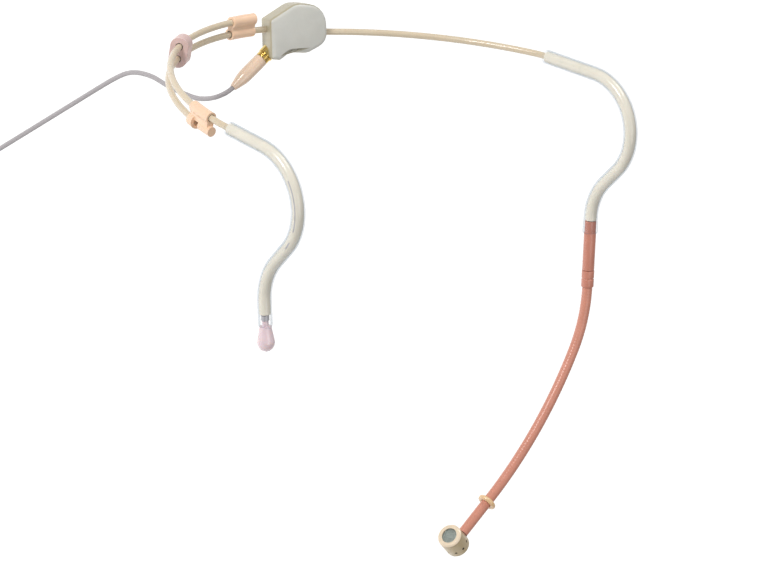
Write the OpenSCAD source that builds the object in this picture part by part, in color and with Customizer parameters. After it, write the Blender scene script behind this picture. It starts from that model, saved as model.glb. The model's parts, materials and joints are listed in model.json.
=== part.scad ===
// Ear-hung headset microphone: a formed spring-wire neckband with a sliding size
// adjuster, two clear ear tubes, a swivelling microphone boom and a pull-off cable.
// Worn frame: +Z up, -Y where the wearer looks, +X towards the wearer's left ear,
// origin half way between the ear canals. Millimetres.

/* [Wires and tubes] */
// Outside diameter of the plastic jacket on every wire
jacket_d = 2.1; // [1.9:0.05:2.4]
// Diameter of the spring steel wire inside the jackets
spring_d = 1.1; // [0.9:0.05:1.2]
// Outside diameter of the clear silicone ear tubes
ear_tube_d = 4.5; // [4.2:0.1:5]
// Outside diameter of the boom
boom_d = 3.35; // [3.2:0.05:3.6]
// Outside diameter of the cable
cord_d = 1.6; // [1.5:0.05:1.7]

/* [Size adjuster] */
// Radius of the two sliding wires, from the adjuster's turning axis
adjuster_r = 68; // [64:0.5:72]
// How far the neckband dips behind the head, in degrees
neck_dip = 48; // [44:1:52]
// Distance between the two sliding wires
rail_gap = 4.1; // [3.9:0.05:4.6]
// Outside diameter of the clip barrels
barrel_d = 3.7; // [3.5:0.05:3.9]
// Width of the sliding keeper
slider_w = 6; // [5.6:0.1:6.4]

/* [Microphone] */
// Outside diameter of the microphone capsule
capsule_d = 7.9; // [7.4:0.1:8.4]
// Length of the microphone capsule
capsule_l = 8.2; // [7.8:0.1:8.8]
// Diameter of the opening in front of the mesh
mesh_d = 5; // [4.6:0.1:5.2]
// Outside diameter of the moisture ring on the boom
drip_ring_d = 6.3; // [6:0.1:6.8]

/* [Connector housing and plug] */
// Thickness of the housing, over both shells
housing_t = 9.6; // [9:0.1:10.4]
// Wall thickness of the housing shells
shell_wall = 1.2; // [1:0.1:1.4]
// Outside diameter of the cable plug
plug_d = 4.6; // [4.4:0.1:4.9]
// Diameter of the jack pin at the far end of the cable
jack_pin_d = 3.5; // [3.5]

/* [Hidden] */
$fn = 48;
run = 0.06;             // radial clearance of every running fit
fit = 0.02;             // radial clearance of parts that do not move on each other
jacket_bore = spring_d + 0.08;
lead_d = 0.6;           // thin microphone lead inside the hollow spring and the boom
spring_bore = 0.7;      // bore of the hollow spring that carries the lead
former_d = 2.1;         // bendable former inside the boom

// Ear hooks: each row is [feed, roll about the wire, bend radius, bend angle].
// A roll of 180 turns the next bend the other way.
right_start = [-72, 23, 1.5];
left_start = [72, 26, -1];
right_hook = [[15.5, 4, 18, 124], [8, 180, 19, 45]];
left_hook = [[21, 0, 17.5, 130], [7, 180, 18, 44]];
right_end_feed = 8;     // straight end inside the right ear tube
left_end_feed = 5;      // straight end inside the left ear tube
left_rise = 53;         // climb of the left hook's start, degrees
left_turn = 3;          // and its turn outwards
left_band = [[0, -1, 14, 17], [0, 0, 93, 40]];
band_end_feed = 7;      // straight end of the band, into the housing
boom_bends = [[18, 93, 45, 27], [0, 0, 135, 24]];
boom_end_feed = 15.2;     // straight end of the boom, where the ring slides
sleeve_l = 12.5;        // visible part of the fixed sleeve
collar_l = 5.5;         // swivelling collar below it
nipple_l = 4;           // part of the sleeve that sits inside the ear tube
drip_ring_at = 1.2;     // ring centre, from the start of the boom's straight end

// Angular places along the adjuster, in degrees from the right ear tube
arm_end = 94.2;         // end of the sliding wire, in the upper clip
rail_start = 13.1;      // end of the fixed wire, in the lower clip
rail_exit = 103.5;      // where the fixed wire ends inside the housing
upper_clip_a = [87, 95.4];
lower_clip_a = [6, 15.4];
window_a = [10.6, 13];  // cut-out in the lower clip's blind barrel
slider_a = [59, 63];

// Housing frame: its middle plane, local +Z towards the neck, local +X towards the left ear
housing_at = [17.1, 63.1, -49.1];
housing_turn = [28, -15, -8];
plug_from = [-10.2, -8, 0];
plug_turn = 218;        // direction of the plug in the housing's plane
plug_l = 14.9;          // from the socket's rim to the cord's exit
nose_l = 5;             // part of the plug inside the socket
nose_d = 3.4;

// ---- frames along a wire: [point, direction, side the wire bends to] ----
function unit(v) = v / norm(v);
function fed(f, l) = [f[0] + f[1] * l, f[1], f[2]];
function rolled(f, a) = [f[0], f[1], f[2] * cos(a) + cross(f[1], f[2]) * sin(a)];
function bent(f, r, a) = [f[0] + f[2] * r * (1 - cos(a)) + f[1] * r * sin(a),
    f[1] * cos(a) + f[2] * sin(a), f[2] * cos(a) - f[1] * sin(a)];
function after(f, s) = bent(rolled(fed(f, s[0]), s[1]), s[2], s[3]);
function last_frame(f, rows, i = 0) = i == len(rows) ? f : last_frame(after(f, rows[i]), rows, i + 1);
function side_of(t) = unit([1, 0, 0] - t * t[0]);
function hook_frame(p, t) = [p, t, cross(side_of(t), t)];

right_t = [0, -cos(neck_dip), sin(neck_dip)];
left_t = [sin(left_turn) * cos(left_rise), -cos(left_turn) * cos(left_rise), sin(left_rise)];
right_f = hook_frame(right_start, right_t);
left_f = hook_frame(left_start, left_t);
right_end = last_frame(right_f, right_hook);
left_end = last_frame(left_f, left_hook);
band_f = [left_start, -left_t, -side_of(left_t)];
band_end = last_frame(band_f, left_band);
tube_end = fed(left_end, left_end_feed);       // end of the left ear tube
boom_f = tube_end;
boom_last = last_frame(boom_f, boom_bends);
swivel_f = fed(boom_f, sleeve_l);              // joint face between sleeve and collar
boom_tip = fed(boom_last, boom_end_feed);
cap_f = fed(right_end, right_end_feed);        // end of the right ear tube

module placed(f) {
    n = f[2];
    t = f[1];
    b = cross(t, n);
    p = f[0];
    multmatrix([[n[0], b[0], t[0], p[0]], [n[1], b[1], t[1], p[1]], [n[2], b[2], t[2], p[2]]])
        children();
}

// Points and directions along a formed wire: rows of feeds and bends, then a straight end
function steps(r, a) = ceil(a / (r < 30 ? 8 : (r < 60 ? 4.5 : 2.2)));
function point_of(f) = [f[0], f[1]];
function bend_route(f, r, a) = let (k = steps(r, a)) [for (i = [1:k]) point_of(bent(f, r, a * i / k))];
function feed_route(f, l) = l > 0 ? [point_of(fed(f, l))] : [];
function rest_route(f, rows, end_feed, i = 0) = i == len(rows) ? feed_route(f, end_feed) :
    let (s = rows[i], g = rolled(fed(f, s[0]), s[1]))
    concat(feed_route(f, s[0]), bend_route(g, s[2], s[3]),
        rest_route(bent(g, s[2], s[3]), rows, end_feed, i + 1));
function route(f, rows, end_feed) = concat([point_of(f)], rest_route(f, rows, end_feed));
function turned_back(p) = [for (i = [len(p) - 1:-1:0]) [p[i][0], -p[i][1]]];
function tail_of(p) = [for (i = [1:len(p) - 1]) p[i]];

// Rings round a route, carried along without twist, and the skin over them
function carried(p, m, i = 0) = i == len(p) ? [] :
    let (q = unit(m - p[i][1] * (m * p[i][1]))) concat([q], carried(p, q, i + 1));
function rings(p, m, r, r_end, sides) = [for (i = [0:len(p) - 1])
    let (b = cross(p[i][1], m[i]), q = i == len(p) - 1 ? r_end : r) for (k = [0:sides - 1])
    p[i][0] + q * (m[i] * cos(360 * k / sides) + b * sin(360 * k / sides))];
function skin(n, sides, o, out) = [for (i = [0:n - 2]) for (k = [0:sides - 1])
    let (a = o + i * sides + k, b = o + i * sides + (k + 1) % sides)
    out ? [a, b, b + sides, a + sides] : [a + sides, b + sides, b, a]];
module swept(p, m0, r, sides, r_end = 0) {
    m = carried(p, m0);
    n = len(p);
    disc = [for (k = [0:sides - 1]) k];
    disc_back = [for (k = [sides - 1:-1:0]) k];
    polyhedron(rings(p, m, r, r_end > 0 ? r_end : r, sides), concat(skin(n, sides, 0, false),
        [disc, [for (k = disc_back) k + (n - 1) * sides]]));
}
module swept_tube(p, m0, ro, ri, sides, r_end = 0) {
    m = carried(p, m0);
    n = len(p);
    o = n * sides;
    e = (n - 1) * sides;
    first = [for (k = [0:sides - 1]) let (j = (k + 1) % sides) [k, j, o + j, o + k]];
    last = [for (k = [0:sides - 1]) let (j = (k + 1) % sides) [o + e + k, o + e + j, e + j, e + k]];
    polyhedron(concat(rings(p, m, ro, r_end > 0 ? r_end : ro, sides), rings(p, m, ri, ri, sides)),
        concat(skin(n, sides, 0, false), skin(n, sides, o, true), first, last));
}

// ---- adjuster frame: local Z is the turning axis, angles count from the right ear tube ----
adjuster_c = right_start + [adjuster_r, 0, 0];
adjuster_axis = [0, -sin(neck_dip), -cos(neck_dip)];
function rail_dir(w) = [-cos(w), sin(w) * cos(neck_dip), -sin(w) * sin(neck_dip)];
arm_f = [adjuster_c + rail_dir(arm_end) * adjuster_r, cross(rail_dir(arm_end), adjuster_axis),
    -rail_dir(arm_end)];
arm_arc = [[0, 0, adjuster_r, arm_end]];
module adjuster() {
    multmatrix([[-1, 0, 0, adjuster_c[0]], [0, cos(neck_dip), -sin(neck_dip), adjuster_c[1]],
        [0, -sin(neck_dip), -cos(neck_dip), adjuster_c[2]]]) children();
}
module sector(a) {
    rotate([0, 0, a[0]]) rotate_extrude(angle = a[1] - a[0]) children();
}
module rail_profile(z, ro, ri) {
    translate([adjuster_r, z]) difference() {
        circle(r = ro);
        if (ri > 0) circle(r = ri);
    }
}

// ---- right side: fixed rail wire and its clip ----
module rail_jacket() {
    color("#e3d6bb") adjuster() sector([rail_start, rail_exit])
        rail_profile(rail_gap, jacket_d / 2, jacket_bore / 2);
}
module rail_spring() {
    color("silver") adjuster() sector([rail_start, rail_exit + 1.2])
        rail_profile(rail_gap, spring_d / 2, 0);
}
module clip_web(inner_half) {
    translate([adjuster_r - inner_half, 0.6]) square([2 * inner_half, rail_gap - 1.2]);
}
module lower_clip() {
    color("#f2c79c") adjuster() difference() {
        union() {
            sector([lower_clip_a[0] + 1, lower_clip_a[1]]) union() {
                rail_profile(0, barrel_d / 2, jacket_d / 2 + run);
                difference() {
                    clip_web(1.2);
                    translate([adjuster_r, 0]) circle(r = jacket_d / 2 + run);
                }
            }
            sector(lower_clip_a) rail_profile(rail_gap, 1.6, 0);
            sector([window_a[1], lower_clip_a[1]]) rail_profile(rail_gap, 2.25, 0);
        }
        sector([9.6, lower_clip_a[1] + 1]) rail_profile(rail_gap, jacket_d / 2 + fit, 0);
        rotate([0, 0, (window_a[0] + window_a[1]) / 2]) translate([adjuster_r, -1.3, rail_gap - 0.95])
            cube([3, 2.6, 2.2]);
    }
}

// ---- right side: sliding arm wire, its clip, the ear tube and cap ----
module arm_jacket() {
    color("#e3d6bb") swept_tube(concat(route(arm_f, arm_arc, 0),
        tail_of(route(right_f, right_hook, 3.6))), adjuster_axis, jacket_d / 2, jacket_bore / 2, 12);
}
module arm_spring() {
    color("silver") swept(concat(route(arm_f, arm_arc, 0),
        tail_of(route(right_f, right_hook, right_end_feed - 0.1))), adjuster_axis, spring_d / 2, 8);
}
module upper_clip() {
    color("#f2c39b") adjuster() difference() {
        sector(upper_clip_a) union() {
            rail_profile(0, barrel_d / 2, 0);
            rail_profile(rail_gap, barrel_d / 2, jacket_d / 2 + run);
            difference() {
                clip_web(1.1);
                translate([adjuster_r, rail_gap]) circle(r = jacket_d / 2 + run);
            }
        }
        sector([upper_clip_a[0] - 1, arm_end + 0.05]) rail_profile(0, jacket_d / 2 + fit, 0);
    }
}
module slider() {
    color("#e6cdcb") adjuster() difference() {
        sector(slider_a) union() {
            translate([adjuster_r, 0]) circle(d = slider_w);
            translate([adjuster_r, rail_gap]) circle(d = slider_w);
            translate([adjuster_r - slider_w / 2, 0]) square([slider_w, rail_gap]);
        }
        for (z = [0, rail_gap]) sector([slider_a[0] - 1, slider_a[1] + 1])
            rail_profile(z, jacket_d / 2 + run, 0);
    }
}
module right_ear_tube() {
    color("#dfe8ea", 0.5) swept_tube(route(right_f, right_hook, right_end_feed), adjuster_axis,
        ear_tube_d / 2, jacket_d / 2 + 0.05, 16);
}
module end_cap() {
    color("#f1dade") placed(fed(right_end, 4)) difference() {
        rotate_extrude() polygon(concat(
            [[0, 0], [jacket_d / 2, 0], [jacket_d / 2, 4.02], [1.95, 4.02], [2.35, 6.6]],
            [for (a = [0:10:90]) [2.8 * cos(a), 9.1 + 3.1 * sin(a)]]));
        translate([0, 0, -1]) cylinder(r = spring_d / 2 + fit, h = 5);
    }
}

// ---- left side: band wire, ear tube, sleeve ----
function left_route(band_feed, hook_feed) = concat(turned_back(route(band_f, left_band, band_feed)),
    tail_of(route(left_f, left_hook, hook_feed)));
module band_jacket() {
    color("#e3d6bb") swept_tube(left_route(band_end_feed, left_end_feed - nipple_l - 0.5), [0, 0, 1],
        jacket_d / 2, jacket_bore / 2, 12);
}
module band_spring() {
    color("silver") swept_tube(left_route(band_end_feed + 1.5, left_end_feed + 2), [0, 0, 1],
        spring_d / 2, spring_bore / 2, 8);
}
module mic_lead_band() {
    color("#c9b9a0") swept(left_route(band_end_feed + 3, left_end_feed + sleeve_l - 6.2), [0, 0, 1],
        lead_d / 2 - 0.02, 8);
}
module left_ear_tube() {
    color("#dfe8ea", 0.5) difference() {
        swept_tube(route(left_f, left_hook, left_end_feed), [1, 0, 0], ear_tube_d / 2,
            jacket_d / 2 + 0.05, 16, ear_tube_d / 2 + 0.2);
        placed(fed(left_end, left_end_feed - nipple_l)) cylinder(r = 1.62, h = nipple_l + 1);
    }
}
module boom_sleeve() {
    color("#d8938a") placed(tube_end) difference() {
        union() {
            translate([0, 0, 0.02 - nipple_l]) cylinder(r = 1.58, h = nipple_l + 0.5);
            translate([0, 0, 0.02]) cylinder(d = 3.9, h = sleeve_l - 0.07);
        }
        translate([0, 0, -nipple_l - 1]) cylinder(r = spring_d / 2 + fit, h = nipple_l + 3.1);
        cylinder(r = 0.4, h = sleeve_l + 1);
        translate([0, 0, sleeve_l - 6]) cylinder(r = 1.26, h = 7);
        translate([0, 0, sleeve_l - 1.2]) rotate_extrude() translate([0, -0.12]) square([0.1, 0.2]);
    }
}

// ---- boom ----
module boom_collar() {
    color("#d4887f") placed(swivel_f) difference() {
        union() {
            translate([0, 0, -5.6]) cylinder(r = 1.2, h = 6);
            translate([0, 0, 0.05]) cylinder(d = 4.05, h = collar_l - 0.05);
        }
        translate([0, 0, -6]) cylinder(r = 0.4, h = 12);
        translate([0, 0, -3]) rotate_extrude() translate([0.95, -0.3]) square([1, 0.6]);
        translate([0, 0, collar_l / 2]) rotate_extrude() translate([1.85, -0.2]) square([1, 0.4]);
        translate([0, 0, collar_l - 2]) cylinder(d = boom_d + 2 * fit, h = 3);
    }
}
module swivel_seal() {
    color("#333333") placed(fed(swivel_f, -3)) rotate_extrude() translate([1.1, 0]) circle(r = 0.14);
}
boom_start = fed(swivel_f, collar_l - 1.98);
// The boom's own straight start is part of the first feed, so its first row is shortened
boom_rows = concat([[boom_bends[0][0] - sleeve_l - collar_l + 1.98, boom_bends[0][1],
    boom_bends[0][2], boom_bends[0][3]]], [boom_bends[1]]);
module boom_tube() {
    color("#d98f84") swept_tube(route(boom_start, boom_rows, boom_end_feed), [1, 0, 0], boom_d / 2,
        former_d / 2 + 0.05, 16);
}
module boom_former() {
    color("#9a9a9a") swept_tube(route(boom_start, boom_rows, boom_end_feed - 0.5), [1, 0, 0],
        former_d / 2, 0.42, 8);
}
lead_rows = concat([[boom_bends[0][0] - sleeve_l + 5.4, boom_bends[0][1], boom_bends[0][2],
    boom_bends[0][3]]], [boom_bends[1]]);
module mic_lead_boom() {
    color("#c9b9a0") swept(route(fed(swivel_f, -5.4), lead_rows, boom_end_feed + 0.9), [1, 0, 0],
        lead_d / 2, 8);
}
module drip_ring() {
    color("#ecd3a4") placed(fed(boom_last, drip_ring_at)) difference() {
        rotate_extrude() union() {
            translate([drip_ring_d / 2 - 0.75, 0]) circle(r = 0.75);
            translate([1.2, -0.75]) square([drip_ring_d / 2 - 1.95, 1.5]);
        }
        translate([0, 0, -2]) cylinder(d = boom_d + 2 * run, h = 4);
    }
}

// ---- capsule: local Z from the mesh to the back ----
capsule_gap = capsule_d / 2 - 0.6;             // boom end to the capsule's axis
module capsule_frame() {
    placed(fed(boom_tip, capsule_gap)) rotate([0, 0, 167]) rotate([0, 90 + 10.5, 0])
        translate([0, 0, 2.6 - capsule_l]) children();
}
module capsule_body() {
    color("#e2cfaa") difference() {
        capsule_frame() difference() {
            union() {
                translate([0, 0, 0.8]) cylinder(d = capsule_d, h = capsule_l - 1.3);
                translate([0, 0, capsule_l - 0.5]) cylinder(d1 = capsule_d, d2 = capsule_d - 0.9, h = 0.5);
            }
            translate([0, 0, 0]) cylinder(d = capsule_d - 1.4, h = capsule_l - 1);
            for (a = [60:40:300]) rotate([0, 0, a]) translate([0, 0, capsule_l - 2.8])
                rotate([0, 90, 0]) cylinder(r = 0.45, h = capsule_d);
        }
        placed(fed(boom_tip, -2)) cylinder(d = boom_d + 2 * fit, h = 2.02);
        placed(boom_tip) cylinder(r = 0.6, h = 1.2);
    }
}
module capsule_bezel() {
    color("#ead6b4") capsule_frame() difference() {
        union() {
            cylinder(d1 = capsule_d - 0.7, d2 = capsule_d, h = 0.35);
            translate([0, 0, 0.35]) cylinder(d = capsule_d, h = 0.43);
            translate([0, 0, 0.7]) cylinder(d = capsule_d - 1.44, h = 0.9);
        }
        translate([0, 0, -1]) cylinder(d = mesh_d, h = 2);
        translate([0, 0, 0.5]) cylinder(d = mesh_d + 1, h = 2);
    }
}
module mesh_grille() {
    color("#8f99a0") capsule_frame() translate([0, 0, 0.52]) cylinder(d = mesh_d + 0.96, h = 0.24);
}
module cartridge_gasket() {
    color("#2b2b2b") capsule_frame() translate([0, 0, 0.78]) difference() {
        cylinder(d = mesh_d + 0.96, h = 0.8);
        translate([0, 0, -1]) cylinder(d = mesh_d - 0.4, h = 3);
    }
}
module mic_cartridge() {
    color("#c9c9cc") capsule_frame() translate([0, 0, 1.62]) difference() {
        cylinder(d = capsule_d - 1.5, h = 2.7);
        translate([0, 0, -1]) cylinder(d = 1, h = 1.6);
    }
}

// ---- housing: two shells round a flat outline ----
module housing_at_place() {
    translate(housing_at) rotate(housing_turn) children();
}
// Corners of the outline: [x, y, corner radius], anticlockwise
outline_corners = [[10.4, -5.2, 4.5], [10.4, 6.6, 7], [-0.4, 8.6, 6.5], [-9.9, 4, 1.5],
    [-9.9, -8.7, 1.2], [-6.6, -9.3, 1], [-3, -7.2, -3], [3.4, -8, 5]];
function line_dir(c, i) = unit([c[(i + 1) % len(c)][0] - c[i][0], c[(i + 1) % len(c)][1] - c[i][1]]);
function corner_at(c, i, g) = let (n = len(c), d0 = line_dir(c, (i + n - 1) % n), d1 = line_dir(c, i),
    h = tan(atan2(d0[0] * d1[1] - d0[1] * d1[0], d0 * d1) / 2), out = [d1[1], -d1[0]])
    [c[i][0], c[i][1]] + g * (out - d1 * h * 1);
function corner_arc(c, i, g) = let (n = len(c), d0 = line_dir(c, (i + n - 1) % n), d1 = line_dir(c, i),
    turn = atan2(d0[0] * d1[1] - d0[1] * d1[0], d0 * d1), r = max(0.2, c[i][2] * sign(turn) + g) ,
    q = turn > 0 ? r : -max(0.2, abs(c[i][2]) - g), p = corner_at(c, i, g),
    s = p - d0 * abs(q * tan(turn / 2)), m = s + q * [-d0[1], d0[0]])
    [for (k = [0:5]) m + q * [sin(turn * k / 5) * d0[0] + cos(turn * k / 5) * d0[1],
        sin(turn * k / 5) * d0[1] - cos(turn * k / 5) * d0[0]]];
function outline(g) = [for (i = [0:len(outline_corners) - 1]) for (q = corner_arc(outline_corners, i, g)) q];
// Layers [z, how far the outline is drawn in] from the parting plane to the face
front_layers = [[0, 0], [3.6, 0], [4.3, -0.3], [4.65, -0.75], [4.8, -1.4]];
rear_layers = [[0, -0.4], [2.6, -0.4], [3.8, -0.9], [4.5, -1.7], [4.8, -2.6]];
module loft(layers, s) {
    n = len(layers);
    k = len(outline(0));
    pts = [for (l = layers) for (q = outline(l[1])) [q[0], q[1], s * l[0]]];
    low = [for (i = [k - 1:-1:0]) i];
    top = [for (i = [0:k - 1]) i + (n - 1) * k];
    up = [for (f = concat([low, top], skin(n, k, 0, true))) [for (i = [len(f) - 1:-1:0]) f[i]]];
    polyhedron(pts, s > 0 ? up : [for (f = up) [for (i = [len(f) - 1:-1:0]) f[i]]]);
}
module plug_axis() {
    translate(plug_from) rotate([0, 0, plug_turn]) rotate([0, 90, 0]) children();
}
module wire_holes() {
    adjuster() sector([rail_exit - 9, rail_exit + 3]) rail_profile(rail_gap, jacket_d / 2 + fit, 0);
    placed(fed(band_end, -3)) cylinder(d = jacket_d + 2 * fit, h = band_end_feed + 6);
}
module housing_front() {
    color("#cfcdc2") difference() {
        housing_at_place() difference() {
            loft(front_layers, 1);
            translate([0, 0, -1]) linear_extrude(housing_t / 2 - shell_wall + 1)
                polygon(outline(-shell_wall));
            plug_axis() translate([0, 0, -8]) cylinder(d = 5.04, h = 12);
        }
        wire_holes();
    }
}
module housing_rear() {
    color("#d8d4c2") difference() {
        housing_at_place() difference() {
            loft(rear_layers, -1);
            translate([0, 0, -housing_t / 2 + shell_wall]) linear_extrude(housing_t)
                polygon(outline(-shell_wall - 0.9));
            plug_axis() translate([0, 0, -8]) cylinder(d = 5.04, h = 12);
            for (x = [-1.4, 5.4]) translate([x, 0, -6]) cylinder(r = 0.55, h = 8);
        }
        wire_holes();
    }
}
module housing_screws() {
    color("silver") housing_at_place() for (x = [-1.4, 5.4]) translate([x, 0, -5.3]) union() {
        cylinder(r = 1, h = 0.5);
        cylinder(r = 0.5, h = 8);
    }
}
module circuit_board() {
    color("#2f6b46") housing_at_place() translate([0, 0, 1.2]) difference() {
        linear_extrude(0.8) polygon([[-4.5, -4.4], [6.8, -4.4], [6.8, 4.8], [-4.5, 4.8]]);
        for (x = [-1.4, 5.4]) translate([x, 0, -1]) cylinder(r = 0.6, h = 3);
    }
}
module wire_clamp() {
    color("#b8b8ba") housing_at_place() translate([-2.6, -3.8, -1.4]) difference() {
        cube([3.6, 2.6, 2.4]);
        translate([1.8, 1.3, -1]) cylinder(r = 0.5, h = 5);
    }
}
module cable_socket() {
    color("#d7b14a") housing_at_place() plug_axis() difference() {
        translate([0, 0, -6.2]) cylinder(d = 5, h = 6.1);
        translate([0, 0, -5.2]) cylinder(d = nose_d + 2 * run, h = 7);
    }
}
module socket_contacts() {
    color("#d9b65a") housing_at_place() plug_axis() for (a = [90, 210, 330])
        rotate([0, 0, a]) translate([0.9, 0, -7.4]) cylinder(d = 0.45, h = 1.15);
}

// ---- plug ----
module plug_collar() {
    color("#d8b44a") housing_at_place() plug_axis() difference() {
        union() {
            translate([0, 0, 0.1]) cylinder(d = plug_d - 0.1, h = 1.35);
            translate([0, 0, -nose_l]) cylinder(d = nose_d, h = nose_l + 0.3);
        }
        translate([0, 0, -nose_l - 1]) cylinder(d = nose_d - 0.8, h = nose_l + 4);
    }
}
module plug_insert() {
    color("#2b2b2b") housing_at_place() plug_axis() difference() {
        translate([0, 0, -nose_l + 1.6]) cylinder(d = nose_d - 0.84, h = nose_l - 0.3);
        for (a = [90, 210, 330]) rotate([0, 0, a]) translate([0.8, 0, -6]) cylinder(d = 0.44, h = 12);
    }
}
module plug_pins() {
    color("#d9b65a") housing_at_place() plug_axis() for (a = [90, 210, 330])
        rotate([0, 0, a]) translate([0.8, 0, -nose_l + 0.4]) cylinder(d = 0.4, h = 5.6);
}
module plug_shell() {
    color("#e9c8a8") housing_at_place() plug_axis() difference() {
        union() {
            translate([0, 0, 1.47]) cylinder(d1 = plug_d - 0.2, d2 = plug_d, h = 0.4);
            translate([0, 0, 1.87]) cylinder(d = plug_d, h = 8.2);
            translate([0, 0, 10.07]) cylinder(d1 = plug_d, d2 = 3.6, h = 2.2);
            translate([0, 0, 12.27]) cylinder(d1 = 3.6, d2 = 2.3, h = plug_l - 12.27);
        }
        translate([0, 0, 1]) cylinder(d = 2.6, h = 8);
        translate([0, 0, 8]) cylinder(d = cord_d + 2 * fit, h = 10);
    }
}

// ---- cable: free route, coil, tail ----
// The route hangs from the plug, drifts back and then drops straight to the tied coil.
cord_route = [[-1.7, 52.1, -61.1], [-3.9, 50.8, -62.6], [-5.9, 50, -64], [-7.5, 49.8, -65.8],
    [-8.3, 50.1, -68], [-8.8, 51, -71], [-9, 52.8, -74.9], [-8.3, 56.8, -80.9],
    [-7.3, 61.4, -87.1], [-5.8, 67.2, -94.2], [-4.5, 71.3, -101.5], [-3.4, 73.4, -108],
    [-2.7, 74.2, -115], [-2.5, 74.4, -123], [-2.5, 74.4, -132], [-2.5, 74.4, -142],
    [-2.5, 74.4, -153], [-2.5, 74.4, -164], [-2.5, 74.4, -176], [-2.5, 74.4, -188],
    [-2.5, 74.4, -200], [-2.5, 74.4, -214]];
coil_c = [9.1, 76.85, -216];      // centre of the coil; its axis runs along Y
coil_in = 6;
coil_out = 12.4;
coil_half = 5.7;
tail_route = [[-2.5, 72, -218], [-2.5, 72, -224], [-2.5, 72, -231], [-2.5, 72, -240]];
function spread(p) = [for (i = [0:len(p) - 2]) for (k = [0, 0.5])
    let (a = p[max(i - 1, 0)], b = p[i], c = p[i + 1], d = p[min(i + 2, len(p) - 1)])
    0.5 * (2 * b + (c - a) * k + (2 * a - 5 * b + 4 * c - d) * k * k + (3 * b - a - 3 * c + d) * k * k * k)];
function smooth(p) = concat(spread(p), [p[len(p) - 1]]);
function headed(p) = [for (i = [0:len(p) - 1]) let (a = p[max(i - 1, 0)], b = p[min(i + 1, len(p) - 1)])
    [p[i], unit((i > 0 ? unit(p[i] - a) : [0, 0, 0]) + (i < len(p) - 1 ? unit(b - p[i]) : [0, 0, 0]))]];
module cord() {
    color("#cfc6d0") swept(headed(smooth(cord_route)), [0, 1, 0], cord_d / 2, 8);
}
module cord_coil() {
    color("#cfc6d0") translate(coil_c) rotate([90, 0, 0]) rotate_extrude()
        translate([coil_in, -coil_half]) square([coil_out - coil_in, 2 * coil_half]);
}
module cord_tail() {
    color("#cfc6d0") swept(headed(tail_route), [0, 1, 0], cord_d / 2, 8);
}
module coil_tie() {
    color("#3a3a3a") translate(coil_c) rotate([0, 90, 0]) translate([9.1, 0, -1.5]) linear_extrude(3)
        difference() {
            square([8.3, 2 * coil_half + 1.8], center = true);
            square([6.7, 2 * coil_half + 0.2], center = true);
        }
}

// ---- locking jack, hanging pin down ----
jack_top = tail_route[len(tail_route) - 1];
module jack_frame() {
    translate(jack_top) rotate([180, 0, 0]) children();
}
module jack_boot() {
    color("#2e2e30") jack_frame() difference() {
        union() {
            cylinder(d1 = 2.6, d2 = 4.2, h = 9);
            translate([0, 0, 9]) cylinder(d = 4.2, h = 2.5);
        }
        translate([0, 0, -1]) cylinder(d = cord_d + 2 * fit, h = 14);
    }
}
module jack_shell() {
    color("#3b3b3e") jack_frame() difference() {
        union() {
            translate([0, 0, 9.5]) cylinder(d1 = 5.6, d2 = 7.4, h = 2);
            translate([0, 0, 11.5]) cylinder(d = 7.4, h = 8.5);
            translate([0, 0, 20]) cylinder(d = 6, h = 7);
        }
        translate([0, 0, 9]) cylinder(d = 4.24, h = 2.52);
        translate([0, 0, 11]) cylinder(d = 4.6, h = 9);
        translate([0, 0, 19]) cylinder(d = 3.2, h = 9);
    }
}
module lock_ring() {
    color("#6e6e72") jack_frame() difference() {
        translate([0, 0, 20.2]) cylinder(d = 8, h = 8);
        translate([0, 0, 19]) cylinder(d = 6 + 2 * run, h = 8.1);
        translate([0, 0, 26.9]) cylinder(d = 5.6, h = 3);
        for (a = [0:20:340]) rotate([0, 0, a]) translate([4.15, 0, 20.9]) cylinder(r = 0.35, h = 6);
    }
}
module jack_sleeve() {
    color("#c9ccd0") jack_frame() difference() {
        union() {
            translate([0, 0, 22]) cylinder(d = 3.16, h = 5.02);
            translate([0, 0, 27.02]) cylinder(d = 5, h = 1.2);
            translate([0, 0, 28.22]) cylinder(d = jack_pin_d, h = 6.4);
        }
        translate([0, 0, 21]) cylinder(d = 2.2, h = 15);
    }
}
module jack_ring() {
    color("#c9ccd0") jack_frame() difference() {
        translate([0, 0, 35.22]) cylinder(d = jack_pin_d, h = 2.3);
        translate([0, 0, 34]) cylinder(d = 2.2, h = 6);
    }
}
module jack_tip() {
    color("#c9ccd0") jack_frame() rotate_extrude() polygon([[0, 38.12], [1.75, 38.12], [1.75, 38.9],
        [1.2, 39.6], [1.75, 40.4], [1.55, 41.1], [0.6, 41.9], [0, 42]]);
}
module jack_insulators() {
    color("#202022") jack_frame() union() {
        translate([0, 0, 22]) cylinder(d = 2.16, h = 16.12);
        translate([0, 0, 34.62]) cylinder(d = jack_pin_d, h = 0.6);
        translate([0, 0, 37.52]) cylinder(d = jack_pin_d, h = 0.6);
    }
}

housing_front();
housing_rear();
housing_screws();
circuit_board();
wire_clamp();
cable_socket();
socket_contacts();
band_jacket();
band_spring();
mic_lead_band();
rail_jacket();
rail_spring();
lower_clip();
arm_jacket();
arm_spring();
upper_clip();
slider();
right_ear_tube();
end_cap();
left_ear_tube();
boom_sleeve();
boom_collar();
swivel_seal();
boom_tube();
boom_former();
mic_lead_boom();
drip_ring();
capsule_body();
capsule_bezel();
mesh_grille();
mic_cartridge();
cartridge_gasket();
plug_shell();
plug_collar();
plug_insert();
plug_pins();
cord();
cord_coil();
cord_tail();
coil_tie();
jack_boot();
jack_shell();
lock_ring();
jack_sleeve();
jack_ring();
jack_tip();
jack_insulators();
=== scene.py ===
import json
from math import ceil, cos, pi, radians, sin, sqrt
import bmesh
import bpy
from mathutils import Matrix, Vector


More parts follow.
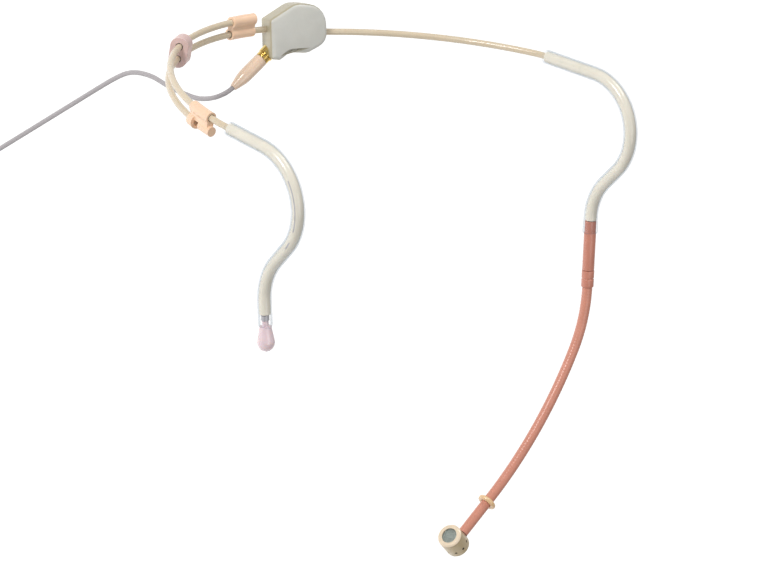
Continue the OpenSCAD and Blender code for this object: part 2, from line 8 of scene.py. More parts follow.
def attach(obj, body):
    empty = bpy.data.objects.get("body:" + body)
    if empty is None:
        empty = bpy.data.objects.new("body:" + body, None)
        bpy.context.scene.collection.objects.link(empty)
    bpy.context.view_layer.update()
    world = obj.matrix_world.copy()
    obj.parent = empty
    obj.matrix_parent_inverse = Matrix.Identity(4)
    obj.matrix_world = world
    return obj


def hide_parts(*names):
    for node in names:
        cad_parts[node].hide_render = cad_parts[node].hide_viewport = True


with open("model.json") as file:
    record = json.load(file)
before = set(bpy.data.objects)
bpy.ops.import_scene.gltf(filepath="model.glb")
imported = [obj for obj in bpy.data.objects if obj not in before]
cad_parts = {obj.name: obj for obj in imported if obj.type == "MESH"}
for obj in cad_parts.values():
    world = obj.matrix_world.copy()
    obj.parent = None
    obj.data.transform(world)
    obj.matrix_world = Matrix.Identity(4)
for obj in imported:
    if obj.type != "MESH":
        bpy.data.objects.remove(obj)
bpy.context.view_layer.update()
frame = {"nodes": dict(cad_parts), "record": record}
MM = 0.001
WIRE_R, CORE_R = 1.05, 0.55             # jacketed spring wire and its core
TUBE_R, TUBE_BORE, LINER_R = 2.25, 1.9, 1.84  # clear ear tube as drawn, and the wire seen in it
FLOOR_Z = -0.9

# ---- camera, far off and long, as the object was seen ----
right = Vector((0.7076, -0.3481, 0.6149))
up = Vector((0.1629, 0.9271, 0.3375))
back = Vector((-0.6876, -0.1386, 0.7127))
target = Vector((-11.6, -29.3, -22.0)) * MM
cam = bpy.data.objects.new("camera", bpy.data.cameras.new("camera"))
bpy.context.scene.collection.objects.link(cam)
place = Matrix((right, up, back)).transposed().to_4x4()
place.translation = target + back.normalized() * 2.0
cam.matrix_world = place
cam.data.sensor_width = 36
cam.data.lens = 302.4
cam.data.clip_start = 0.05
cam.data.clip_end = 50
bpy.context.scene.camera = cam


# ---- materials ----
def material(name, color, rough=0.4, grain=0.0, grain_size=900.0, bump=0.15, bump_size=2500.0,
             speck=None, speck_amount=0.0, metal=0.0, coat=0.0, sheen=0.0, sss=0.0, rough_var=0.08):
    """Moulded or drawn surface: clouded colour, specks, worn roughness and a fine bump."""
    m = bpy.data.materials.new(name)
    m.use_nodes = True
    nt = m.node_tree
    n, link = nt.nodes, nt.links.new
    b = n["Principled BSDF"]
    pos = n.new("ShaderNodeTexCoord")
    cloud = n.new("ShaderNodeTexNoise")
    cloud.inputs["Scale"].default_value = grain_size
    cloud.inputs["Detail"].default_value = 6
    link(pos.outputs["Object"], cloud.inputs["Vector"])
    ramp = n.new("ShaderNodeValToRGB")
    dark = [c * (1 - grain) for c in color]
    light = [min(1, c * (1 + grain)) for c in color]
    ramp.color_ramp.elements[0].position = 0.3
    ramp.color_ramp.elements[1].position = 0.7
    ramp.color_ramp.elements[0].color = dark + [1]
    ramp.color_ramp.elements[1].color = light + [1]
    link(cloud.outputs["Fac"], ramp.inputs["Fac"])
    out = ramp.outputs["Color"]
    if speck:
        dots = n.new("ShaderNodeTexNoise")
        dots.inputs["Scale"].default_value = 4200
        dots.inputs["Detail"].default_value = 2
        link(pos.outputs["Object"], dots.inputs["Vector"])
        cut = n.new("ShaderNodeValToRGB")
        cut.color_ramp.elements[0].position = 0.6
        cut.color_ramp.elements[1].position = 0.72
        cut.color_ramp.elements[0].color = (0, 0, 0, 1)
        cut.color_ramp.elements[1].color = (speck_amount, speck_amount, speck_amount, 1)
        link(dots.outputs["Fac"], cut.inputs["Fac"])
        mix = n.new("ShaderNodeMix")
        mix.data_type = "RGBA"
        link(cut.outputs["Color"], mix.inputs["Factor"])
        link(out, mix.inputs["A"])
        mix.inputs["B"].default_value = list(speck) + [1]
        out = mix.outputs["Result"]
    link(out, b.inputs["Base Color"])
    wear = n.new("ShaderNodeMapRange")
    wear.inputs["To Min"].default_value = max(0.02, rough - rough_var)
    wear.inputs["To Max"].default_value = min(1, rough + rough_var)
    link(cloud.outputs["Fac"], wear.inputs["Value"])
    link(wear.outputs["Result"], b.inputs["Roughness"])
    fine = n.new("ShaderNodeTexNoise")
    fine.inputs["Scale"].default_value = bump_size
    fine.inputs["Detail"].default_value = 4
    link(pos.outputs["Object"], fine.inputs["Vector"])
    bp = n.new("ShaderNodeBump")
    bp.inputs["Strength"].default_value = bump
    bp.inputs["Distance"].default_value = 0.00005
    link(fine.outputs["Fac"], bp.inputs["Height"])
    link(bp.outputs["Normal"], b.inputs["Normal"])
    b.inputs["Metallic"].default_value = metal
    b.inputs["Coat Weight"].default_value = coat
    b.inputs["Coat Roughness"].default_value = 0.12
    b.inputs["Sheen Weight"].default_value = sheen
    b.inputs["Subsurface Weight"].default_value = sss
    b.inputs["Subsurface Radius"].default_value = (0.0012, 0.0007, 0.0004)
    return m


def clear(name, color, rough):
    """Clear soft tube: nearly open face on, blue-grey and denser towards its edges."""
    m = material(name, color, rough=rough, grain=0.03, bump=0.05, rough_var=0.02)
    n, link = m.node_tree.nodes, m.node_tree.links.new
    lw = n.new("ShaderNodeLayerWeight")
    lw.inputs["Blend"].default_value = 0.5
    ramp = n.new("ShaderNodeValToRGB")
    el = ramp.color_ramp.elements
    el[0].position, el[0].color = 0.3, (0.03, 0.03, 0.03, 1)
    el[1].position, el[1].color = 0.88, (0.95, 0.95, 0.95, 1)
    mid = ramp.color_ramp.elements.new(0.7)
    mid.color = (0.2, 0.2, 0.2, 1)
    link(lw.outputs["Facing"], ramp.inputs["Fac"])
    link(ramp.outputs["Color"], n["Principled BSDF"].inputs["Alpha"])
    n["Principled BSDF"].inputs["IOR"].default_value = 1.41
    return m


MATS = {
    "front_shell": material("front_shell", [0.565, 0.56, 0.515], 0.36, 0.03, 260, 0.22, 4200, [0.4, 0.4, 0.37],
                            0.22, sss=0.05),
    "rear_shell": material("rear_shell", [0.4, 0.36, 0.255], 0.3, 0.03, 260, 0.12, 3200, [0.4, 0.36, 0.26],
                           0.12, coat=0.3, sss=0.08),
    "fastener_steel": material("fastener_steel", [0.6, 0.6, 0.62], 0.3, 0.08, 1500, 0.3, metal=1.0),
    "board_green": material("board_green", [0.05, 0.22, 0.1], 0.35, 0.12, 2500, 0.3, coat=0.4),
    "contact_gold": material("contact_gold", [0.78, 0.58, 0.2], 0.16, 0.06, 900, 0.08, metal=1.0, rough_var=0.05),
    "wire_cream": material("wire_cream", [0.61, 0.51, 0.37], 0.28, 0.02, 250, 0.02, coat=0.4, sss=0.08),
    "spring_steel": material("spring_steel", [0.5, 0.52, 0.55], 0.22, 0.1, 1400, 0.2, metal=1.0),
    "lead_tan": material("lead_tan", [0.6, 0.5, 0.36], 0.5, 0.06),
    "clip_peach": material("clip_peach", [0.84, 0.58, 0.4], 0.3, 0.03, 250, 0.1, coat=0.4, sss=0.12),
    "slider_rose": material("slider_rose", [0.64, 0.46, 0.43], 0.34, 0.03, 260, 0.12, 3000, [0.66, 0.48, 0.46],
                            0.12, coat=0.2, sss=0.1),
    "clear_silicone": clear("clear_silicone", [0.12, 0.23, 0.33], 0.1),
    "wire_seen": material("wire_seen", [0.82, 0.76, 0.64], 0.3, 0.03, 200, 0.05, 1500, coat=0.5, sss=0.05),
    "steel_seen": material("steel_seen", [0.5, 0.48, 0.5], 0.35, 0.12, 400, 0.1, metal=0.3),
    "cap_rose": material("cap_rose", [0.72, 0.57, 0.6], 0.2, 0.03, 200, 0.05, coat=0.7, sss=0.2),
    "sleeve_rose": material("sleeve_rose", [0.54, 0.215, 0.15], 0.34, 0.03, 300, 0.15, 3500, coat=0.2, sss=0.06),
    "black_rubber": material("black_rubber", [0.02, 0.02, 0.022], 0.6, 0.2, 900, 0.3),
    "boom_salmon": material("boom_salmon", [0.59, 0.25, 0.175], 0.36, 0.04, 300, 0.18, 3600,
                            [0.58, 0.25, 0.18], 0.15, coat=0.1, sss=0.06),
    "former_metal": material("former_metal", [0.6, 0.6, 0.6], 0.4, 0.08, metal=1.0),
    "ring_cream": material("ring_cream", [0.76, 0.52, 0.28], 0.28, 0.02, 300, 0.02, coat=0.4, sss=0.2),
    "capsule_cream": material("capsule_cream", [0.5, 0.39, 0.22], 0.34, 0.04, 300, 0.18, 3500,
                              [0.42, 0.33, 0.2], 0.18, coat=0.1, sss=0.06),
    "bezel_cream": material("bezel_cream", [0.74, 0.61, 0.45], 0.26, 0.03, 300, 0.1, coat=0.3, sss=0.06),
    "mesh_steel": material("mesh_steel", [0.56, 0.62, 0.58], 0.32, 0.15, 3000, 0.2, metal=0.45),
    "mesh_back": material("mesh_back", [0.17, 0.19, 0.17], 0.8, 0.4, 1500, 0.6),
    # port_dark also serves as painted shade: dark discs in the capsule's holes, rings in the bore mouths and the gap
    # ring at the boom tip
    "port_dark": material("port_dark", [0.025, 0.02, 0.015], 0.7, 0.2),
    "cartridge_can": material("cartridge_can", [0.72, 0.72, 0.74], 0.3, 0.05, metal=1.0),
    "plug_peach": material("plug_peach", [0.74, 0.56, 0.42], 0.26, 0.02, 300, 0.02, coat=0.45, sss=0.12),
    "insulator_black": material("insulator_black", [0.025, 0.025, 0.025], 0.45, 0.2),
    "cable_lilac": material("cable_lilac", [0.38, 0.355, 0.365], 0.5, 0.04, 400, 0.25, sheen=0.1),
    "tie_dark": material("tie_dark", [0.03, 0.03, 0.034], 0.9, 0.3, 2500, 0.8, 5000, [0.12, 0.12, 0.13], 0.5,
                         sheen=0.4),
    "boot_dark": material("boot_dark", [0.03, 0.03, 0.032], 0.6, 0.15, 900, 0.3),
    "jack_dark_metal": material("jack_dark_metal", [0.045, 0.045, 0.05], 0.34, 0.15, 1200, 0.25, metal=0.6),
    "lock_ring_metal": material("lock_ring_metal", [0.25, 0.25, 0.27], 0.3, 0.12, 1200, 0.25, metal=1.0),
    "jack_nickel": material("jack_nickel", [0.78, 0.78, 0.8], 0.12, 0.05, 900, 0.06, metal=1.0, rough_var=0.05),
}

slot_of = {s["node"]: s["material_slot"] for s in frame["record"]["subparts"]}
body_of = {n: b for b, ns in frame["record"]["behaviour"]["bodies"].items() for n in ns}
for node, slot in slot_of.items():
    data = frame["nodes"][node].data
    data.materials.clear()
    data.materials.append(MATS[slot])


# ---- building helpers, in millimetres ----
def finish_piece(bm, name, mat, body, nodes=(), angle=35, smooth=True):
    me = bpy.data.meshes.new(name)
    bm.normal_update()
    bm.to_mesh(me)
    bm.free()
    for f in me.polygons:
        f.use_smooth = smooth
    if smooth:
        me.set_sharp_from_angle(angle=radians(angle))
    ob = bpy.data.objects.new(name, me)
    bpy.context.scene.collection.objects.link(ob)
    me.materials.append(MATS[mat])
    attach(ob, body)
    if nodes:
        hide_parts(*nodes)
    return ob


def fed(f, l):
    return (f[0] + f[1] * l, f[1], f[2])


def rolled(f, a):
    a = radians(a)
    return (f[0], f[1], f[2] * cos(a) + f[1].cross(f[2]) * sin(a))


def bent(f, r, a):
    a = radians(a)
    return (f[0] + f[2] * (r * (1 - cos(a))) + f[1] * (r * sin(a)),
            f[1] * cos(a) + f[2] * sin(a), f[2] * cos(a) - f[1] * sin(a))


def last_frame(f, rows):
    for feed, roll, r, a in rows:
        f = bent(rolled(fed(f, feed), roll), r, a)
    return f


def route(f, rows, end, step=1.0):
    """Points and directions along a formed wire, about one each step."""
    out = [(f[0], f[1])]

    def straight(f, l):
        k = max(1, ceil(l / step)) if l > 0 else 0
        out.extend((f[0] + f[1] * (l * i / k), f[1]) for i in range(1, k + 1))

    for feed, roll, r, a in rows:
        straight(f, feed)
        g = rolled(fed(f, feed), roll)
        k = max(2, ceil(radians(a) * r / step))
        out.extend(bent(g, r, a * i / k)[:2] for i in range(1, k + 1))
        f = bent(g, r, a)
    straight(f, end)
    return out


def side_of(t):
    return (Vector((1, 0, 0)) - t * t.x).normalized()


def hook_frame(p, t):
    return (Vector(p), t, side_of(t).cross(t))


def rings_of(bm, path, radius, sides):
    """Rings of vertices along a path, carried without twist. radius is a number or a function of length."""
    m = Vector((0.3, 0.5, 0.8))
    length, rings = 0.0, []
    for i, (p, t) in enumerate(path):
        if i:
            length += (p - path[i - 1][0]).length
        m = (m - t * m.dot(t)).normalized()
        b = t.cross(m)
        r = radius(length) if callable(radius) else radius
        rings.append([bm.verts.new((p + (m * cos(2 * pi * k / sides) + b * sin(2 * pi * k / sides)) * r) * MM)
                      for k in range(sides)])
    return rings


def skin(bm, rings, flip=False):
    for a, b in zip(rings, rings[1:]):
        n = len(a)
        for k in range(n):
            q = [a[k], a[(k + 1) % n], b[(k + 1) % n], b[k]]
            bm.faces.new(q[::-1] if flip else q)


def eased(path, edge=0.15):
    """Adds a ring close to each end, so that the ends can be rounded."""
    (p, t), (q, s) = path[0], path[-1]
    return [path[0], (p + t * edge, t)] + path[1:-1] + [(q - s * edge, s), path[-1]]


def tube(name, path, ro, mat, body, nodes=(), ri=0.0, sides=32, edge=0.15, radius=None):
    bm = bmesh.new()
    path = eased(path, edge)
    total = sum((b[0] - a[0]).length for a, b in zip(path, path[1:]))

    def outer(l):
        r = radius(l) if radius else ro
        return r - edge * 0.8 if min(l, total - l) < edge * 0.5 else r

    rings = rings_of(bm, path, outer, sides)
    skin(bm, rings)
    if ri > 0:
        inner = rings_of(bm, path, ri, sides)
        skin(bm, inner, True)
        for o, n, flip in ((rings[0], inner[0], False), (rings[-1], inner[-1], True)):
            for k in range(sides):
                q = [o[k], n[k], n[(k + 1) % sides], o[(k + 1) % sides]]
                bm.faces.new(q[::-1] if flip else q)
    else:
        bm.faces.new(rings[0][::-1])
        bm.faces.new(rings[-1])
    return finish_piece(bm, name, mat, body, nodes)


def at(p, axis, x=None):
    """Matrix that puts local Z along axis at p."""
    z = Vector(axis).normalized()
    x = Vector(x) if x else (Vector((0, 0, 1)) if abs(z.z) < 0.9 else Vector((1, 0, 0)))
    x = (x - z * x.dot(z)).normalized()
    m = Matrix((x, z.cross(x), z)).transposed().to_4x4()
    m.translation = Vector(p)
    return m


def rounded(profile, edge=0.15, k=3):
    """Corners of a profile [(r, z), ...] eased by small arcs."""
    out = [profile[0]]
    for a, b, c in zip(profile, profile[1:], profile[2:]):
        a, b, c = Vector(a), Vector(b), Vector(c)
        e = min(edge, (b - a).length * 0.45, (c - b).length * 0.45)
        p, q = b + (a - b).normalized() * e, b + (c - b).normalized() * e
        out += [tuple(p * (1 - t) ** 2 + b * (2 * t * (1 - t)) + q * t * t) for t in [i / k for i in range(k + 1)]]
    out.append(profile[-1])
    return out


def lathe(name, profile, m, mat, body, nodes=(), sides=64, edge=0.15, closed=False, angle=40):
    """Turns a profile [(r, z), ...] round local Z."""
    pts = rounded(profile + ([profile[0]] if closed else []), edge)
    bm = bmesh.new()
    rings = []
    for r, z in pts:
        if r < 1e-4:
            rings.append([bm.verts.new(m @ Vector((0, 0, z)) * MM)])
        else:
            rings.append([bm.verts.new(m @ Vector((r * cos(2 * pi * k / sides), r * sin(2 * pi * k / sides), z)) * MM)
                          for k in range(sides)])
    for a, b in zip(rings, rings[1:]):
        for k in range(sides):
            j = (k + 1) % sides
            q = [a[k % len(a)], a[j % len(a)], b[j % len(b)], b[k % len(b)]]
            q = list(dict.fromkeys(q))
            if len(q) > 2:
                bm.faces.new(q)
    bmesh.ops.remove_doubles(bm, verts=bm.verts, dist=1e-8)
    bmesh.ops.recalc_face_normals(bm, faces=bm.faces)
    return finish_piece(bm, name, mat, body, nodes, angle)


def soften(node, edge, name=None, segments=3):
    """A CAD node's shape with eased edges, standing for that node."""
    src = frame["nodes"][node]
    bm = bmesh.new()
    bm.from_mesh(src.data)
    bmesh.ops.remove_doubles(bm, verts=bm.verts, dist=2e-6)
    bmesh.ops.dissolve_limit(bm, angle_limit=radians(1.0), verts=bm.verts, edges=bm.edges)
    ob = finish_piece(bm, name or node + "_look", slot_of[node], body_of[node], [node])
    bev = ob.modifiers.new("edges", "BEVEL")
    bev.width = edge * MM
    bev.segments = segments
    bev.limit_method = "ANGLE"
    bev.angle_limit = radians(38)
    bev.use_clamp_overlap = True
    bev.harden_normals = False
    return ob


# ---- the wires' frames, as in the part's source ----
DIP = radians(48)
RISE, TURN = radians(53), radians(3)
right_t = Vector((0, -cos(DIP), sin(DIP)))
left_t = Vector((sin(TURN) * cos(RISE), -cos(TURN) * cos(RISE), sin(RISE)))
right_f = hook_frame((-72, 23, 1.5), right_t)
left_f = hook_frame((72, 26, -1), left_t)
right_hook = [(15.5, 4, 18, 124), (8, 180, 19, 45)]
left_hook = [(21, 0, 17.5, 130), (7, 180, 18, 44)]
band_f = (left_f[0], -left_t, -side_of(left_t))
left_band = [(0, -1, 14, 17), (0, 0, 93, 40)]
boom_bends = [(18, 93, 45, 27), (0, 0, 135, 24)]
right_end = last_frame(right_f, right_hook)
left_end = last_frame(left_f, left_hook)
boom_f = fed(left_end, 5)
swivel_f = fed(boom_f, 12.5)
boom_last = last_frame(boom_f, boom_bends)
boom_tip = fed(boom_last, 15.2)
ARC_R, GAP = 68.0, 4.1
arc_c = right_f[0] + Vector((ARC_R, 0, 0))
arc_axis = Vector((0, -sin(DIP), -cos(DIP)))


def arc_dir(w):
    w = radians(w)
    return Vector((-cos(w), sin(w) * cos(DIP), -sin(w) * sin(DIP)))


def arc_point(w, z=0.0, r=ARC_R):
    return arc_c + arc_dir(w) * r + arc_axis * z


def arc_path(w0, w1, z):
    k = max(2, ceil(abs(w1 - w0) * 1.2))
    out = []
    for i in range(k + 1):
        w = w0 + (w1 - w0) * i / k
        d = arc_axis.cross(arc_dir(w)).normalized()
        out.append((arc_point(w, z), d if w1 > w0 else -d))
    return out


# ---- the cable first: plug, drop, tied coil, tail ----
cord_route = [(-1.7, 52.1, -61.1), (-3.9, 50.8, -62.6), (-5.9, 50, -64), (-7.5, 49.8, -65.8), (-8.3, 50.1, -68),
              (-8.8, 51, -71), (-9, 52.8, -74.9), (-8.3, 56.8, -80.9), (-7.3, 61.4, -87.1), (-5.8, 67.2, -94.2),
              (-4.5, 71.3, -101.5), (-3.4, 73.4, -108), (-2.7, 74.2, -115), (-2.5, 74.4, -123), (-2.5, 74.4, -132),
              (-2.5, 74.4, -142), (-2.5, 74.4, -153), (-2.5, 74.4, -164), (-2.5, 74.4, -176), (-2.5, 74.4, -188),
              (-2.5, 74.4, -200), (-2.5, 74.4, -214)]


def through(points, n=4):
    pts = [Vector(p) for p in points]
    out = []
    for i in range(len(pts) - 1):
        a, b, c, d = pts[max(i - 1, 0)], pts[i], pts[i + 1], pts[min(i + 2, len(pts) - 1)]
        for k in range(n):
            t = k / n
            out.append(0.5 * (2 * b + (c - a) * t + (2 * a - 5 * b + 4 * c - d) * t * t
                              + (3 * b - a - 3 * c + d) * t ** 3))
    return out + [pts[-1]]


PITCH = 1.65
CX, CZ, Y0, Y1 = 9.1, -216.0, 74.4, 81.0


def coil_place(turn):
    """Radius and y of the winding, turn by turn: four layers of four turns, three steps in, one way out."""
    lay, into = divmod(turn, 5)
    lay = int(lay)
    if turn >= 19:
        t = turn - 19
        return 6.8 + 4.8 * t, Y0 - 2.4 * min(1, t * 5) ** 0.8
    r = 11.6 - 1.6 * lay
    fwd = lay % 2 == 0
    if into <= 4:
        y = Y0 + PITCH * into if fwd else Y1 - PITCH * into
        return r, y
    f = into - 4
    bulge = 0.72 * sqrt(max(0, sin(pi * f)))
    return r - 1.6 * f, (Y1 + bulge) if fwd else (Y0 - bulge)


coil = []
for i in range(1, 20 * 20 + 1):
    r, y = coil_place(i / 20)
    a = pi + 2 * pi * i / 20
    coil.append(Vector((CX + r * cos(a), y, CZ + r * sin(a))))
run = through(cord_route) + [Vector((-2.5, 74.4, -216))] + coil
run += [Vector((-2.5, 72, z)) for z in (-217.5, -220, -224, -231, -240)]
crv = bpy.data.curves.new("cable", "CURVE")
crv.dimensions = "3D"
sp = crv.splines.new("POLY")
sp.points.add(len(run) - 1)
for k, p in enumerate(run):
    sp.points[k].co = (p.x * MM, p.y * MM, p.z * MM, 1)
crv.bevel_depth = 0.8 * MM
crv.bevel_resolution = 4
crv.use_fill_caps = True
cable = bpy.data.objects.new("cable", crv)
bpy.context.scene.collection.objects.link(cable)
crv.materials.append(MATS["cable_lilac"])
sp.use_smooth = True
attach(cable, "cable")
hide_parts("cord", "cord_coil", "cord_tail")

# ---- wires ----
arm_path = arc_path(94.2, 0, 0) + route(right_f, right_hook, 3.6)[1:]
tube("arm_wire", arm_path, WIRE_R, "wire_cream", "right_arm", ["arm_jacket"], sides=28, edge=0.1)
arm_core = arc_path(94.2, 0, 0) + route(right_f, right_hook, 7.9)[1:]
tube("arm_core", arm_core, CORE_R, "spring_steel", "right_arm", ["arm_spring"], sides=16, edge=0.05)
tube("rail_wire", arc_path(13.12, 103.4, GAP), WIRE_R, "wire_cream", "band", ["rail_jacket"], sides=28, edge=0.1)


def turned(path):
    return [(p, -t) for p, t in reversed(path)]


band_path = turned(route(band_f, left_band, 7)) + route(left_f, left_hook, 0.5)[1:]
tube("band_wire", band_path, WIRE_R, "wire_cream", "band", ["band_jacket"], sides=28, edge=0.1)
band_core = turned(route(band_f, left_band, 8.5)) + route(left_f, left_hook, 7)[1:]
tube("band_core", band_core, CORE_R, "spring_steel", "band", ["band_spring"], sides=16, edge=0.05)

# A clear tube magnifies the wire in it, so a wider liner stands round the wire. It is no real part.
tube("right_liner", route(fed(right_f, 0.5), [(15.0, 4, 18, 124), (8, 180, 19, 45)], 4.2), LINER_R, "wire_seen",
     "right_arm", sides=32)
tube("right_core_seen", route(fed(right_end, 4.3), [], 1.9), 1.3, "steel_seen", "right_arm", sides=24)
tube("left_liner", route(fed(left_f, 0.5), [(20.5, 0, 17.5, 130), (7, 180, 18, 44)], 0.9), LINER_R, "wire_seen",
     "band", sides=32)
for name, w0, w1 in (("seen_long", 48, 100), ("seen_short", 112, 122)):
    f = rolled(fed(right_f, 15.5), 4)
    pts = []
    for i in range(13):
        g = bent(f, 18, w0 + (w1 - w0) * i / 12)
        side = g[1].cross(g[2])
        pts.append((g[0] - (g[2] * 0.25 + side * 0.97) * 1.38, g[1]))
    tube("right_" + name, pts, 0.5, "steel_seen", "right_arm", sides=16,
         radius=lambda l: 0.5)
tube("right_tube", route(right_f, right_hook, 8), TUBE_R, "clear_silicone", "right_arm", ["right_ear_tube"],
     ri=TUBE_BORE, sides=48, edge=0.25)
left_path = route(left_f, left_hook, 5)
left_len = sum((b[0] - a[0]).length for a, b in zip(left_path, left_path[1:]))
tube("left_tube", left_path, TUBE_R, "clear_silicone", "band", ["left_ear_tube"], ri=TUBE_BORE, sides=48, edge=0.25,
     radius=lambda l: TUBE_R + 0.2 * max(0, min(1, (l - left_len + 6) / 5)))

# ---- boom: skin over a close-wound former, so a faint pitch shows ----
boom_rows = [(18 - 12.5 - 5.5, 93, 45, 27), (0, 0, 135, 24)]
tube("boom_skin", route(fed(swivel_f, 5.5), boom_rows, 15.2, 0.2), 1.66, "boom_salmon", "boom", ["boom_tube"],
     sides=40, edge=0.1, radius=lambda l: 1.655 + 0.02 * cos(2 * pi * l / 1.05))
m = at(boom_f[0], boom_f[1])
lathe("sleeve", [(1.3, 0.04), (1.95, 0.04), (1.95, 12.44), (1.28, 12.44), (1.28, 6.6), (0.6, 6.6), (0.6, 0.04)],
      m, "sleeve_rose", "band", ["boom_sleeve"], edge=0.2, closed=True)
lathe("sleeve_nipple", [(0.6, -3.9), (LINER_R, -3.9), (LINER_R, 0.2), (0.6, 0.2)], m, "sleeve_rose", "band", edge=0.1,
      closed=True)
m = at(swivel_f[0], swivel_f[1])
lathe("collar", [(0.45, -5.5), (1.2, -5.5), (1.2, 0.06), (2.02, 0.06), (2.02, 2.4), (1.88, 2.5), (1.88, 2.9),
                 (2.02, 3.0), (2.02, 5.45), (1.7, 5.45), (1.7, 3.6), (0.45, 3.6)],
      m, "sleeve_rose", "boom", ["boom_collar"], edge=0.16, closed=True)
m = at(boom_last[0] + boom_last[1] * 1.2, boom_last[1])
ring_profile = [(2.4 + 0.74 * cos(a * pi / 8), 0.75 * sin(a * pi / 8)) for a in range(-5, 6)]
lathe("moisture_ring", [(1.74, -0.62)] + ring_profile + [(1.74, 0.62)], m, "ring_cream", "drip_ring", ["drip_ring"],
      edge=0.1, closed=True)

# ---- end cap ----
cap_f = fed(right_end, 4)
cap_profile = [(0.57, 0.05), (1.03, 0.05), (1.03, 4.02), (1.94, 4.02), (1.98, 4.6), (2.18, 5.8), (2.5, 7.4),
               (2.72, 8.5)]
cap_profile += [(2.78 * cos(radians(a)), 9.1 + 3.08 * sin(radians(a))) for a in range(0, 90, 9)] + [(0, 12.18)]
lathe("tip_cap", cap_profile, at(cap_f[0], cap_f[1]), "cap_rose", "right_arm", ["end_cap"], edge=0.1)

# ---- clips and slider: the exact parts with eased edges ----
for node, edge in (("lower_clip", 0.18), ("upper_clip", 0.22), ("slider", 0.32)):
    soften(node, edge)
# dark rings sunk in the bore mouths of the clips and slider: painted shade in the gap round the wire
for w, z, body in ((87, GAP, "right_arm"), (95.4, GAP, "right_arm"), (7, 0, "band"), (15.4, 0, "band"),
                   (59, 0, "slider"), (59, GAP, "slider"), (63, 0, "slider"), (63, GAP, "slider")):
    d = arc_axis.cross(arc_dir(w)).normalized()
    s = 1 if w in (95.4, 15.4, 63) else -1
    lathe("bore_rim_%d_%d_%s" % (w, z, body), [(1.11, -0.35), (1.24, -0.35), (1.24, 0.02), (1.11, 0.02)],
          at(arc_point(w, z), d * s), "port_dark", body, edge=0.06, closed=True, sides=32)

# ---- capsule ----
n, t = boom_tip[2], boom_tip[1]
b = t.cross(n)
axis = (-0.956 * n + 0.221 * b - 0.182 * t).normalized()
CAP_D, CAP_L = 7.9, 8.2
front = boom_tip[0] + t * (CAP_D / 2 - 0.6) - axis * (CAP_L - 2.6)
cm = at(front, axis, -t)
soften("capsule_body", 0.12, segments=2)
lathe("capsule_rim", [(2.5, 0.03), (3.45, 0.03), (3.93, 0.4), (3.93, 0.76), (3.2, 0.76), (3.2, 1.5), (3.0, 1.5),
                      (3.0, 0.52), (2.5, 0.46)], cm, "bezel_cream", "boom", ["capsule_bezel"], edge=0.12, closed=True)
bm = bmesh.new()
GR = 2.94
for way in (0, 1):
    count = 17
    for i in range(count):
        off = (i - (count - 1) / 2) * (2 * GR / count)
        half = sqrt(max(0.05, GR * GR - off * off))
        pts = []
        steps = max(4, int(half * 2 / 0.085))
        for k in range(steps + 1):
            s = -half + 2 * half * k / steps
            wave = 0.05 * cos(pi * s / (2 * GR / count) + pi * (i + way))
            v = (off, s) if way == 0 else (s, off)
            pts.append(cm @ Vector((v[0], v[1], 0.62 + wave)))
        path = [(p, ((pts[min(j + 1, steps)] - pts[max(j - 1, 0)]).normalized())) for j, p in enumerate(pts)]
        rr = rings_of(bm, path, 0.06, 6)
        skin(bm, rr)
        bm.faces.new(rr[0][::-1])
        bm.faces.new(rr[-1])
finish_piece(bm, "grille_weave", "mesh_steel", "boom", ["mesh_grille"])
lathe("grille_back", [(0, 0.74), (2.94, 0.74), (2.94, 0.8), (0, 0.8)], cm, "mesh_back", "boom", edge=0.02)
# ports: flush dark discs over the holes of the CAD body, painted shade standing for the dark inside of each hole
for a in range(60, 301, 40):
    c, s = cos(radians(a)), sin(radians(a))
    pm = at(cm @ Vector((3.9 * c, 3.9 * s, CAP_L - 2.8)), cm.to_3x3() @ Vector((c, s, 0)))
    lathe("port_rim_%d" % a, [(0.52, -0.2), (0.6, -0.2), (0.6, 0.02), (0.52, 0.02)], pm, "bezel_cream", "boom",
          edge=0.06, closed=True, sides=24)
    lathe("port_dark_%d" % a, [(0, -0.2), (0.52, -0.2), (0.52, 0.01), (0, 0.01)], pm, "port_dark", "boom",
          edge=0.02, sides=24)
lathe("boom_shadow_gap", [(1.5, -0.5), (1.72, -0.5), (1.72, -0.3), (1.5, -0.3)],
      at(boom_tip[0] - t * 0.1, t), "port_dark", "boom", edge=0.02, closed=True)

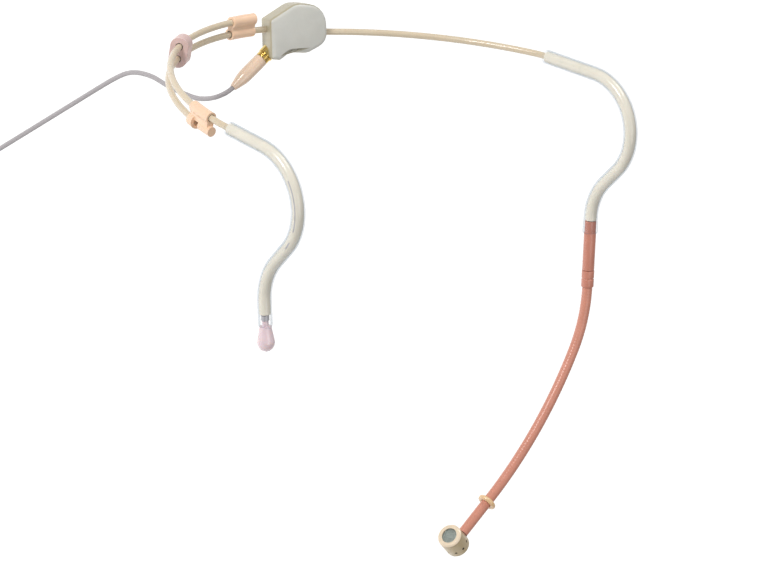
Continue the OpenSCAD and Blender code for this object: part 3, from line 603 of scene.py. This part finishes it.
# ---- housing, plug and jack ----
for node, edge in (("housing_front", 0.3), ("housing_rear", 0.25), ("jack_shell", 0.25),
                   ("lock_ring", 0.15), ("jack_boot", 0.3), ("coil_tie", 0.3)):
    soften(node, edge)
housing_turn = (Matrix.Rotation(radians(-8), 4, "Z") @ Matrix.Rotation(radians(-15), 4, "Y")
                @ Matrix.Rotation(radians(28), 4, "X"))
face = housing_turn.to_3x3() @ Vector((0, 0, 1))
shell = bpy.data.objects["housing_front_look"].data
shell.materials.append(MATS["rear_shell"])
for f in shell.polygons:
    f.material_index = 0 if f.normal.dot(face) > 0.75 else 1
hm = Matrix.Translation(Vector((17.1, 63.1, -49.1))) @ housing_turn
pa = radians(218)
plug_m = hm @ at((-10.2, -8, 0), (cos(pa), sin(pa), 0), (0, 0, 1))
lathe("plug_body", [(0.85, 1.5), (2.12, 1.5), (2.28, 1.95), (2.3, 6), (2.28, 9.4), (2.15, 10.6), (1.85, 12),
                    (1.5, 13.4), (1.15, 14.86), (0.83, 14.86), (0.83, 8), (1.25, 7.9), (1.25, 1.5)],
      plug_m, "plug_peach", "cable", ["plug_shell"], edge=0.5, closed=True)
lathe("collar_rings", [(1.3, -4.9), (1.68, -4.9), (1.68, 0.12), (2.24, 0.12), (2.24, 0.46), (2.04, 0.52), (2.04, 0.62),
                       (2.24, 0.68), (2.24, 0.94), (2.04, 1.0), (2.04, 1.1), (2.24, 1.16), (2.24, 1.44), (1.3, 1.44)],
      plug_m, "contact_gold", "cable", ["plug_collar"], edge=0.04, closed=True)

# ---- stage ----
floor_mat = bpy.data.materials.new("floor")
floor_mat.use_nodes = True
fb = floor_mat.node_tree.nodes["Principled BSDF"]
fb.inputs["Base Color"].default_value = (0.93, 0.93, 0.93, 1)
fb.inputs["Roughness"].default_value = 0.9
fb.inputs["Emission Color"].default_value = (1, 1, 1, 1)
fb.inputs["Emission Strength"].default_value = 0.5
me = bpy.data.meshes.new("floor")
me.from_pydata([(-6, -6, FLOOR_Z), (6, -6, FLOOR_Z), (6, 6, FLOOR_Z), (-6, 6, FLOOR_Z)], [], [(0, 1, 2, 3)])
me.materials.append(floor_mat)
floor = bpy.data.objects.new("floor", me)
bpy.context.scene.collection.objects.link(floor)
world = bpy.data.worlds.new("studio")
bpy.context.scene.world = world
world.use_nodes = True
world.node_tree.nodes["Background"].inputs["Color"].default_value = (1, 1, 1, 1)
world.node_tree.nodes["Background"].inputs["Strength"].default_value = 0.36


def area(name, loc, size, power):
    li = bpy.data.lights.new(name, "AREA")
    li.shape = "RECTANGLE"
    li.size, li.size_y = size
    li.energy = power
    ob = bpy.data.objects.new(name, li)
    bpy.context.scene.collection.objects.link(ob)
    ob.location = loc
    ob.rotation_mode = "QUATERNION"
    ob.rotation_quaternion = (Vector((0, 0, -0.03)) - Vector(loc)).to_track_quat("-Z", "Y")


area("key", (-1.2, 0.8, 0.75), (0.5, 0.5), 17)
area("fill", (-0.34, -0.91, 1.18), (1.0, 1.0), 5)
area("top", (0.5, 0.7, 0.9), (0.4, 0.8), 6)
bpy.context.scene.view_settings.view_transform = "Standard"
